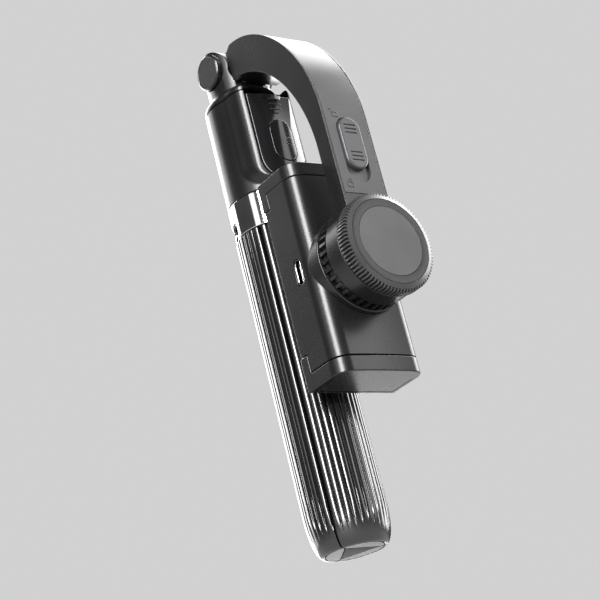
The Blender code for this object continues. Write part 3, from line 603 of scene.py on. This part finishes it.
def make_head_cap():
    low, high = CAP_LOW.z, CAP_HIGH.z
    lower_edge = ((0.25, 0.0), (0.06, 0.08), (0.0, 0.25))
    rings = [placed("Z", head_outline(high, inset), low + lift) for inset, lift in lower_edge]
    for k in range(9):
        turn = pi / 2 * k / 8
        height = high - CAP_SHOULDER + CAP_SHOULDER * sin(turn)
        rings.append(placed("Z", head_outline(high, CAP_SHOULDER * (1 - cos(turn))), height))
    cap = cut(skin("head_top", rings), cylinder("bore", ROD_R + GAP, 100, 200), recess())
    finish(eased(cap, 0.16, 2, 50), "shell_grey", "handle", "head_cap")


def curved_plate(name, outline, radius, thickness, edge):
    """Plate with an outline seen from the front, bent round the handle's axis."""
    rings = [bent(shrunk(outline, 0.12), radius - thickness), bent(outline, radius - thickness + 0.12)]
    for k in range(5):
        turn = pi / 2 * k / 4
        rings.append(bent(shrunk(outline, edge * (1 - cos(turn))), radius - edge + edge * sin(turn)))
    inner = shrunk(outline, edge)
    middle = sum(z for _, z in outline) / len(outline)
    for share in (0.85, 0.7, 0.55, 0.4, 0.25, 0.1):
        rings.append(bent([(x * share, middle + (z - middle) * share) for x, z in inner], radius))
    return skin(name, rings)


def stroke(name, points, width, closed, look, body):
    """Fine printed line laid on a surface."""
    curve = bpy.data.curves.new(name, "CURVE")
    curve.dimensions = "3D"
    curve.bevel_depth = MM * width / 2
    curve.bevel_resolution = 2
    curve.use_fill_caps = True
    spline = curve.splines.new("POLY")
    spline.points.add(len(points) - 1)
    for point, place in zip(spline.points, points):
        point.co = (*[MM * value for value in place], 1.0)
    spline.use_cyclic_u = closed
    return finish(realised(add_object(name, curve)), look, body)


def make_remote_panel():
    front = pod_front(PANEL_HIGH.x, PANEL_LOW.z, PANEL_HIGH.z)
    panel = curved_plate("remote_front", rounded(front, 0.8), POD_R, PANEL_THICKNESS, 0.3)
    window = oblong(BUTTON_HIGH.x + GAP, BUTTON_LOW.z - GAP, BUTTON_HIGH.z + GAP)
    panel = cut(panel, slab("window", window, -25, -11, "Y"))
    finish(eased(panel, 0.08, 2, 60), "gloss_black", "remote", "remote_panel")


def make_shutter_button():
    """Oblong key with the outline of a camera on it."""
    outline = oblong(BUTTON_HIGH.x, BUTTON_LOW.z, BUTTON_HIGH.z)
    key = curved_plate("shutter_key", outline, BUTTON_R, BUTTON_THICKNESS, 0.22)
    finish(key, "gloss_black", "shutter_button", "shutter_button")
    x, z = CAMERA_MARK
    body = rounded_box((x - 1.9, x + 1.9), (z - 1.3, z + 1.3), 0.45, 3)
    lens = arc(CAMERA_MARK, 0.75, 0, 345, 23)
    for name, line in (("body", body), ("lens", lens)):
        stroke("camera_mark_" + name, bent(line, BUTTON_R), 0.16, True, "satin_black", "shutter_button")


def make_indicator_bars():
    for number, height in enumerate(INDICATOR_HEIGHTS, 1):
        bar = rounded_box((-2.4, 2.6), (height - 0.14, height + 0.14), 0.12, 3)
        mark = curved_plate(f"indicator_bar_{number}", bar, POD_R + 0.03, 0.5, 0.05)
        finish(mark, "metal_grey", "remote")


# ---------------------------------------------------------------- neck and hinge


def make_neck():
    column = [(NECK_BORE_R, 195), (NECK_R, 195), (NECK_R, 171.9), (NECK_R + 0.35, 170.9)]
    column += [(NECK_HIGH.x, NECK_LOW.z), (NECK_BORE_R, NECK_LOW.z)]
    half = arc((0, HINGE_Z), EAR_R, 90, -18, 36) + NECK_FLANK + [(13.0, NECK_LOW.z)]
    neck = common(turned("neck_yoke", column), slab("ears", mirrored(half), -14, 14, "X"))
    gap = rounded_box((-EAR_GAP_HALF, EAR_GAP_HALF), (NECK_SLOT_FLOOR, 200), 1.2)
    pin_hole = cylinder("pin_hole", HINGE_PIN_R + GAP, -14, 14, "X", (0, HINGE_Z))
    neck = cut(neck, slab("slot", gap, -16, 16, "Y"), pin_hole)
    for side in (-1, 1):
        low, high = sorted((side * (HINGE_CAP_INNER - GAP), side * 14))
        neck = cut(neck, cylinder("seat", HINGE_CAP_R + GAP, low, high, "X", (0, HINGE_Z), 96))
    finish(eased(neck, 0.2, 3, 35), "satin_black", "neck", "neck")


def make_hinge_caps():
    """Round cap on each end of the hinge pin, with a raised rim."""
    rim, depth = HINGE_CAP_R, HINGE_CAP_OUTER - HINGE_CAP_INNER
    wall = [(0.05, 0.0), (rim - 0.15, 0.0), (rim, 0.15), (rim, depth - 0.62), (rim - 0.12, depth - 0.4)]
    wall += [(rim - 0.62, depth), (rim - 0.95, depth), (rim - 1.05, depth - 0.1)]
    wall += [(0.6, depth - 0.1), (0.05, depth - 0.1)]
    for name, side in (("left", -1), ("right", 1)):
        profile = [(r, side * (HINGE_CAP_INNER + x)) for r, x in wall]
        disc = turned("hinge_disc_" + name, profile, 96, "X", (0, HINGE_Z), wrap=False)
        finish(disc, "shell_grey", "neck", "hinge_cap_" + name, slot="metal_grey")


# ---------------------------------------------------------------- arm


def arm_curve(spec, end_y, steps, start=0.0):
    centre, height, power = spec
    points = squared_arc(centre, centre[0] - end_y, height, power, steps)
    return [point for point in points if point[0] <= centre[0] - start]


def cover_side(inset, end, start, lift=0.0):
    """Strip along the outer side of the arch, from start down to the end height."""
    centre, height, power = ARM_OUTER
    outer = [(ARM_OUTER_Y - lift, end)]
    outer += [(y - lift, z + lift) for y, z in reversed(arm_curve(ARM_OUTER, ARM_OUTER_Y, 60, start))]
    under = squared_arc(centre, centre[0] - ARM_OUTER_Y - inset, height - inset, power, 60)
    inner = [point for point in under if point[0] <= centre[0] - start]
    return outer + inner + [(ARM_OUTER_Y + inset, end)]


def make_arm():
    end = MOTOR_Z + 8
    side = arm_curve(ARM_OUTER, ARM_OUTER_Y, 60) + [(ARM_OUTER_Y, end), (ARM_INNER_Y, end)]
    side += list(reversed(arm_curve(ARM_INNER, ARM_INNER_Y, 60))) + [(-6.0, 176.0), (-6.0, 182.5)]
    width = ARM_HALF_WIDTH
    arm = slab("arm_body", side, -width, width, "X")
    arm = join(arm, cylinder("knuckle", TONGUE_R, -width - 1, width + 1, "X", (0, HINGE_Z), 96))
    for sign in (-1, 1):
        low, high = sorted((sign * TONGUE_HALF_WIDTH, sign * 20))
        room = box("ear_room", (low, high), (EAR_FRONT, 20), (160, HINGE_Z))
        arm = cut(arm, cylinder("hinge_room", TONGUE_R + 0.7, low, high, "X", (0, HINGE_Z), 96), room)
    front, back = ARM_OUTER_Y + 0.05, ARM_INNER_Y - 0.05
    arm = join(arm, cylinder("housing", HOUSING_R, front, back, "Y", (0, MOTOR_Z), 144))
    pocket_half = COVER_HALF_WIDTH + 0.12
    pocket = cover_side(COVER_THICKNESS + GAP, COVER_END_Z - 0.12, 3.9, 3.0)
    arm = cut(
        arm,
        cylinder("motor_room", HOUSING_BORE, -60, HOUSING_FLOOR, "Y", (0, MOTOR_Z)),
        cylinder("shaft_hole", 3.6, -60, -40, "Y", (0, MOTOR_Z)),
        cylinder("pin_hole", HINGE_PIN_R + GAP, -20, 20, "X", (0, HINGE_Z)),
        slab("pocket", pocket, -pocket_half, pocket_half, "X"),
        box("channel", (-2.4, 2.4), (-48.9, -46.2), (99.0, 133.0)),
    )
    finish(eased(arm, 0.22, 3, 35), "shell_grey", "arm", "arm_frame")


def make_cover():
    """Strip along the outside of the arch, with the track that the slider runs in."""
    side = cover_side(COVER_THICKNESS, COVER_END_Z, 4.0)
    cover = slab("arm_strip", side, -COVER_HALF_WIDTH, COVER_HALF_WIDTH, "X")
    track = oblong(SLIDER_HIGH.x + GAP, SLIDER_LOW.z - SLIDER_TRAVEL - GAP, SLIDER_HIGH.z + GAP)
    stem_room = (SLIDER_STEM[0] - SLIDER_TRAVEL - GAP, SLIDER_STEM[1] + GAP)
    cover = cut(
        cover,
        slab("track", track, -60, ARM_OUTER_Y + TRACK_DEPTH, "Y"),
        box("stem_slot", (-1.7, 1.7), (-60, -40), stem_room),
    )
    finish(eased(cover, 0.14, 2, 35), "metal_grey", "arm", "arm_cover")


def make_slider():
    half_width, low, high = SLIDER_HIGH.x, SLIDER_LOW.z, SLIDER_HIGH.z
    face, floor = SLIDER_LOW.y, ARM_OUTER_Y + TRACK_DEPTH - GAP
    key = slab("slider_key", oblong(half_width, low, high), face, floor, "Y", 0.75, 0.1, 6)
    middle = (low + high) / 2
    for group in (-1, 1):
        for line in (-1, 0, 1):
            height = middle + group * GRIP_GROUP + line * GRIP_PITCH
            outline = rounded_box((-2.5, 2.5), (height - 0.28, height + 0.28), 0.25, 4)
            key = cut(key, slab("groove", outline, face - 1, face + 0.4, "Y"))
    stem = box("stem", (-1.3, 1.3), (floor - 0.5, -48.4), SLIDER_STEM)
    finish(eased(join(key, stem), 0.08, 2, 50), "metal_grey", "lock_slider", "lock_slider")


def make_padlock(name, place, opened):
    """Plain padlock mark. An open one has its shackle to the left, clear of the body at one end."""
    x, z = place
    body = rounded_box((x - 1.15, x + 1.15), (z - 0.9, z + 0.9), 0.25, 3)
    middle = x - 1.5 if opened else x
    shackle = [] if opened else [(middle - 0.75, z + 0.9)]
    shackle += arc((middle, z + 1.3), 0.75, 180, 0, 10) + [(middle + 0.75, z + 0.9)]
    for part, line, closed in (("_body", body, True), ("_shackle", shackle, False)):
        stroke(name + part, placed("Y", line, ARM_OUTER_Y), 0.26, closed, "gloss_black", "arm")


# ---------------------------------------------------------------- knob and rotor


def tooth_depth(turn, share, edge):
    """0 on a tooth's top, 1 in the gap beside it. turn is where in the pitch, from 0 to 1."""
    away = abs(turn - 0.5) * 2
    return smooth((away - share) / edge + 0.5)


def make_knob_cap():
    """Knob with teeth round its rim that run out on the chamfer in front of them."""
    front, back = KNOB_LOW.y, KNOB_HIGH.y
    rows = [(SHAFT_BORE_R, back, 0), (KNOB_R - 0.75, back, 0), (KNOB_R - 0.55, back - 0.06, 0)]
    rows += [(KNOB_R - 0.1, back - 0.4, 1), (KNOB_R, back - 0.6, 1), (KNOB_R, KNOB_SHOULDER + 0.15, 1)]
    run_out = ((1, 0.74), (2, 0.3), (3, 0))
    rows += [(KNOB_R - 0.4 * k + 0.25, KNOB_SHOULDER - 0.4 * k / 2.17, share) for k, share in run_out]
    rows += [(KNOB_RIM_R + 0.35, front + 0.13, 0), (KNOB_RIM_R + 0.12, front, 0)]
    rows += [(KNOB_RIM_R + 0.02, front + 0.1, 0), (KNOB_RIM_R, KNOB_FLOOR, 0), (SHAFT_BORE_R, KNOB_FLOOR, 0)]
    per_tooth = 10
    steps = KNOB_TEETH * per_tooth
    rings = []
    for radius, y, toothed in rows:
        ring = []
        for i in range(steps):
            r = radius - toothed * KNURL_DEPTH * tooth_depth(i % per_tooth / per_tooth, 0.42, 0.04)
            angle = 2 * pi * i / steps
            ring.append((r * cos(angle), y, MOTOR_Z + r * sin(angle)))
        rings.append(ring)
    finish(skin("knob_grip", rings, wrap=True), "metal_grey", "clamp", "knob_cap")


def make_knob_face():
    """Shallow dished ring and the flat disc inside it."""
    front, back, centre = KNOB_LOW.y, KNOB_FLOOR - GAP, (0, MOTOR_Z)
    inner, outer = KNOB_FACE_R + GAP * 0.4, KNOB_RIM_R - GAP * 0.4
    dish = [(inner + (outer - inner) * k / 12, front + 0.08 + 0.07 * sin(pi * k / 12)) for k in range(13)]
    dish += [(outer, back), (inner, back)]
    finish(turned("knob_dish", dish, 144, "Y", centre), "satin_black", "clamp", "knob_ring")
    edge = KNOB_FACE_R
    disc = [(0.05, front), (edge - 0.2, front), (edge - 0.08, front + 0.04), (edge - 0.02, front + 0.12)]
    disc += [(edge, front + 0.3), (edge, back), (0.05, back)]
    finish(turned("knob_disc", disc, 144, "Y", centre, wrap=False), "metal_grey", "clamp", "knob_face")


def make_tooth_ring():
    low, high = span("rotor_tooth_ring")
    per_tooth = 12
    steps = RING_TEETH * per_tooth
    outline = []
    for i in range(steps):
        r = HOUSING_R - 0.05 - RING_TOOTH_DEPTH * tooth_depth(i % per_tooth / per_tooth, 0.4, 0.1)
        outline.append((r * cos(2 * pi * i / steps), MOTOR_Z + r * sin(2 * pi * i / steps)))
    ring = slab("tooth_band", outline, low.y, high.y, "Y", 0.12, 0.12, 2)
    ring = cut(ring, cylinder("bore", SHAFT_BORE_R, -60, -30, "Y", (0, MOTOR_Z)))
    finish(ring, "shell_grey", "clamp", "rotor_tooth_ring")


def clamp_plan(grow, back):
    """Plan of the clamp: flat sides and back, rounded front corners and a slightly bowed front."""
    half_width = CLAMP_HALF_WIDTH + grow
    radius = CLAMP_CORNER_R + grow
    front = CLAMP_FRONT - grow
    corner = (half_width - radius, front + CLAMP_BOW + radius)
    half = [(half_width, back)] + arc(corner, radius, 0, -86, 20)
    start_x, start_y = half[-1]
    for t in (0.15, 0.3, 0.5, 0.7, 0.85, 1.0):
        half.append((start_x * (1 - t), front + (start_y - front) * (1 - t) ** 2))
    return mirrored(half)


def make_fairing():
    centre, front, rim = (0, MOTOR_Z), span("clamp_fairing")[0].y, KNOB_R - 0.1
    profile = [(0.05, front), (KNOB_R - 0.5, front), (KNOB_R - 0.15, front + 0.12), (rim, front + 0.5)]
    profile += [(rim, FAIRING_BACK), (0.05, FAIRING_BACK)]
    fairing = turned("rotor_fairing", profile, 144, "Y", centre, wrap=False)
    room = slab("clamp_room", clamp_plan(0.12, -20), 40, 140)
    fairing = cut(fairing, room, cylinder("bore", SHAFT_BORE_R, -60, -30, "Y", centre))
    finish(eased(fairing, 0.18, 2, 40), "shell_grey", "clamp", "clamp_fairing")


# ---------------------------------------------------------------- phone clamp


def usb_outline(grow):
    (y, z), (half_y, half_z) = USB_PLACE, USB_HALF_SIZE
    y_range = (y - half_y - grow, y + half_y + grow)
    z_range = (z - half_z - grow, z + half_z + grow)
    return rounded_box(y_range, z_range, USB_ROUNDING + grow)


def make_clamp_shell():
    bottom, top = SHELL_LOW.z, SHELL_HIGH.z
    shell = slab("clamp_case", clamp_plan(0, SHELL_HIGH.y), bottom, top)
    room = slab("room", clamp_plan(-CLAMP_WALL, 0), bottom + CLAMP_END_WALL, top - CLAMP_END_WALL)
    lip_y = (JAW_LIP_FRONT - GAP, 0)
    lower_lip = box("lower_lip", (-30, 30), lip_y, (0, JAW_LOWER[2] + GAP))
    upper_lip = box("upper_lip", (-30, 30), lip_y, (JAW_UPPER[2] - GAP, 200))
    socket = slab("socket", usb_outline(0.25), -20, -14, "X")
    shaft_hole = cylinder("shaft_hole", SHAFT_BORE_R, -40, -33, "Y", (0, MOTOR_Z))
    shell = cut(shell, room, lower_lip, upper_lip, socket, shaft_hole)
    for side in (-1, 1):
        place = (side * JAW_ROD_PLACE[0], JAW_ROD_PLACE[1])
        shell = cut(shell, cylinder("rod_hole", JAW_ROD_R + GAP, 40, 140, centre=place))
    finish(eased(shell, 0.16, 2, 40), "shell_grey", "clamp", "clamp_shell")


def make_usb_port():
    y, z = USB_PLACE
    port = slab("usb_shell", usb_outline(0), -17.8, -10.6, "X", 0.12, 0.0)
    port = cut(port, slab("mouth", shrunk(usb_outline(0), 0.3), -19.0, -11.8, "X"))
    tongue = eased(box("tongue", (-16.8, -11.4), (y - 0.35, y + 0.35), (z - 3.3, z + 3.3)), 0.1)
    finish(join(port, tongue), "chrome", "clamp", "usb_port")


def make_phone_side():
    """Back plate of the clamp and the grooved rubber pad that the phone rests on."""
    low, high = span("clamp_back_cover")
    outline = rounded_box((low.x, high.x), (low.z, high.z), 1.0)
    cover = slab("back_plate", outline, low.y, high.y, "Y", 0.1, 0.25)
    finish(cover, "satin_black", "clamp", "clamp_back_cover")
    low, high = span("clamp_pad")
    outline = rounded_box((low.x, high.x), (low.z, high.z), 2.0)
    pad = slab("grip_pad", outline, low.y, high.y, "Y", 0.1, 0.3)
    middle = (low.z + high.z) / 2
    for i in range(PAD_GROOVES):
        height = middle + (i - (PAD_GROOVES - 1) / 2) * PAD_GROOVE_PITCH
        outline = rounded_box((low.x + 2.5, high.x - 2.5), (height - 0.5, height + 0.5), 0.45, 4)
        pad = cut(pad, slab("groove", outline, high.y - 0.35, high.y + 1, "Y"))
    finish(pad, "rubber", "clamp", "clamp_pad")


def make_jaw(name, heights):
    """L-shaped jaw: an end cap with a U-shaped seam, a lip along its back and two guide rods."""
    end, inner, lip = heights
    low, high = sorted((end, inner))
    plate = slab(name + "_body", clamp_plan(0, JAW_BACK), low, high)
    low, high = sorted(((end + inner) / 2, lip))
    back_lip = box("lip", (-CLAMP_HALF_WIDTH, CLAMP_HALF_WIDTH), (JAW_LIP_FRONT, JAW_BACK), (low, high))
    jaw = eased(join(plate, back_lip), 0.42, 4, 50)
    away = 1 if end > inner else -1
    line = JAW_SEAM_WIDTH
    reach = CLAMP_HALF_WIDTH - JAW_SEAM_INSET
    front, back = CLAMP_FRONT + 7.0, JAW_BACK - JAW_SEAM_INSET
    depth = sorted((end - away * 0.5, end + away))
    for x_range, y_range in (
        ((-reach, reach), (back - line, back)),
        ((-reach, -reach + line), (front, back - 0.1)),
        ((reach - line, reach), (front, back - 0.1)),
    ):
        jaw = cut(jaw, box("seam", x_range, y_range, depth))
    low, high = sorted((inner + away, inner - away * JAW_ROD_REACH))
    for side in (-1, 1):
        place = (side * JAW_ROD_PLACE[0], JAW_ROD_PLACE[1])
        jaw = join(jaw, cylinder("guide", JAW_ROD_R, low, high, centre=place, steps=32))
    finish(jaw, "shell_grey", name, name)


# ---------------------------------------------------------------- studio


CENTRE = Vector((0.0, -20.0, 95.0)) * MM
CAMERA_PLACE = Vector((-348.26, -419.83, -119.18)) * MM
CAMERA_TURN, CAMERA_RISE, CAMERA_ROLL = radians(-39.968), radians(-21.029), radians(-14.243)
LENS = 100.87
FLOOR_HALF, FLOOR_DROP = 6.0, 0.06


def outwards(turn, rise):
    """Unit vector to an azimuth and elevation. Azimuth 0 is in front of the clamp and 90 on its right."""
    return Vector((sin(turn) * cos(rise), -cos(turn) * cos(rise), sin(rise)))


def camera_axes():
    """Right, up and back of the camera, as unit vectors."""
    back = outwards(CAMERA_TURN, CAMERA_RISE)
    level = Vector((cos(CAMERA_TURN), sin(CAMERA_TURN), 0.0))
    over = back.cross(level)
    right = level * cos(CAMERA_ROLL) + over * sin(CAMERA_ROLL)
    up = over * cos(CAMERA_ROLL) - level * sin(CAMERA_ROLL)
    return right, up, back


def make_camera():
    data = bpy.data.cameras.new("camera")
    data.lens = LENS
    data.sensor_width = 36.0
    data.clip_start = 0.01
    camera = bpy.data.objects.new("camera", data)
    bpy.context.scene.collection.objects.link(camera)
    turn = Matrix(camera_axes()).transposed().to_4x4()
    camera.matrix_world = Matrix.Translation(CAMERA_PLACE) @ turn
    bpy.context.scene.camera = camera


def make_light(name, azimuth, elevation, size, radiance, distance=1.0):
    """Softbox round the gimbal, facing it. Its size and distance are in metres."""
    turn = radians(azimuth)
    away = outwards(turn, radians(elevation))
    sideways = Vector((cos(turn), sin(turn), 0.0))
    data = bpy.data.lights.new(name, "AREA")
    data.shape = "RECTANGLE"
    data.size, data.size_y = size
    data.energy = radiance * pi * size[0] * size[1]
    light = bpy.data.objects.new(name, data)
    bpy.context.scene.collection.objects.link(light)
    facing = Matrix((sideways, away.cross(sideways), away)).transposed().to_4x4()
    light.matrix_world = Matrix.Translation(CENTRE + away * distance) @ facing
    light.visible_camera = False


def make_floor():
    """Pale paper with a faint glow of its own, so that it stays even away from the lights."""
    corners = [(FLOOR_HALF * x, FLOOR_HALF * y) for x, y in ((-1, -1), (1, -1), (1, 1), (-1, 1))]
    mesh = bpy.data.meshes.new("floor")
    mesh.from_pydata(placed("Z", corners, CAMERA_PLACE.z - FLOOR_DROP), [], [(0, 1, 2, 3)])
    floor = add_object("floor", mesh)
    material = bpy.data.materials.new("floor_paper")
    material.use_nodes = True
    shader = material.node_tree.nodes["Principled BSDF"]
    shader.inputs["Base Color"].default_value = (0.16, 0.16, 0.158, 1.0)
    shader.inputs["Roughness"].default_value = 0.9
    shader.inputs["Specular IOR Level"].default_value = 0.1
    shader.inputs["Emission Color"].default_value = (1.0, 1.0, 0.995, 1.0)
    shader.inputs["Emission Strength"].default_value = 0.42
    floor.data.materials.append(material)


def make_world():
    """Dim room for the reflections, with a pale backdrop where the camera looks past the gimbal."""
    world = bpy.data.worlds.new("studio")
    bpy.context.scene.world = world
    world.use_nodes = True
    tree = world.node_tree
    room, seen = tree.nodes["Background"], tree.nodes.new("ShaderNodeBackground")
    room.inputs["Color"].default_value = (0.06, 0.06, 0.061, 1.0)
    seen.inputs["Color"].default_value = (0.64, 0.64, 0.64, 1.0)
    mix = tree.nodes.new("ShaderNodeMixShader")
    tree.links.new(tree.nodes.new("ShaderNodeLightPath").outputs["Is Camera Ray"], mix.inputs[0])
    tree.links.new(room.outputs[0], mix.inputs[1])
    tree.links.new(seen.outputs[0], mix.inputs[2])
    tree.links.new(mix.outputs[0], tree.nodes["World Output"].inputs["Surface"])


def make_lights():
    make_light("strip", -50, 21, (0.34, 1.0), 26)
    make_light("left", -80, 21, (0.25, 1.0), 1.2)
    make_light("behind_left", -170, 20, (0.7, 1.1), 3.2)
    make_light("behind_right", 160, 20, (0.8, 1.1), 6)
    make_light("right", 84, 22, (0.6, 1.0), 7)
    make_light("front", 34, 21, (0.42, 0.9), 2.9)
    make_light("above", 108, 48, (0.7, 0.5), 7, 1.1)
    make_light("below", 140, -21, (0.5, 0.5), 2.4)


# ---------------------------------------------------------------- assembly


def dress_cad_nodes():
    """Give each CAD node that still shows the material of its slot."""
    slots = {part["node"]: part["material_slot"] for part in frame["record"]["subparts"]}
    for node, obj in frame["nodes"].items():
        obj.data.materials.clear()
        obj.data.materials.append(LOOKS[slots[node]])


dress_cad_nodes()
for leg_side in LEG_AZIMUTHS:
    make_leg(leg_side)
make_collar()
make_end_plug()
make_rods()
make_head()
make_head_cap()
make_remote_panel()
make_shutter_button()
make_indicator_bars()
make_neck()
make_hinge_caps()
make_arm()
make_cover()
make_slider()
make_padlock("open_lock_mark", OPEN_LOCK_PLACE, True)
make_padlock("closed_lock_mark", CLOSED_LOCK_PLACE, False)
make_knob_cap()
make_knob_face()
make_tooth_ring()
make_fairing()
make_clamp_shell()
make_usb_port()
make_phone_side()
make_jaw("jaw_upper", JAW_UPPER)
make_jaw("jaw_lower", JAW_LOWER)
make_camera()
make_floor()
make_world()
make_lights()
bpy.context.scene.view_settings.view_transform = "Standard"
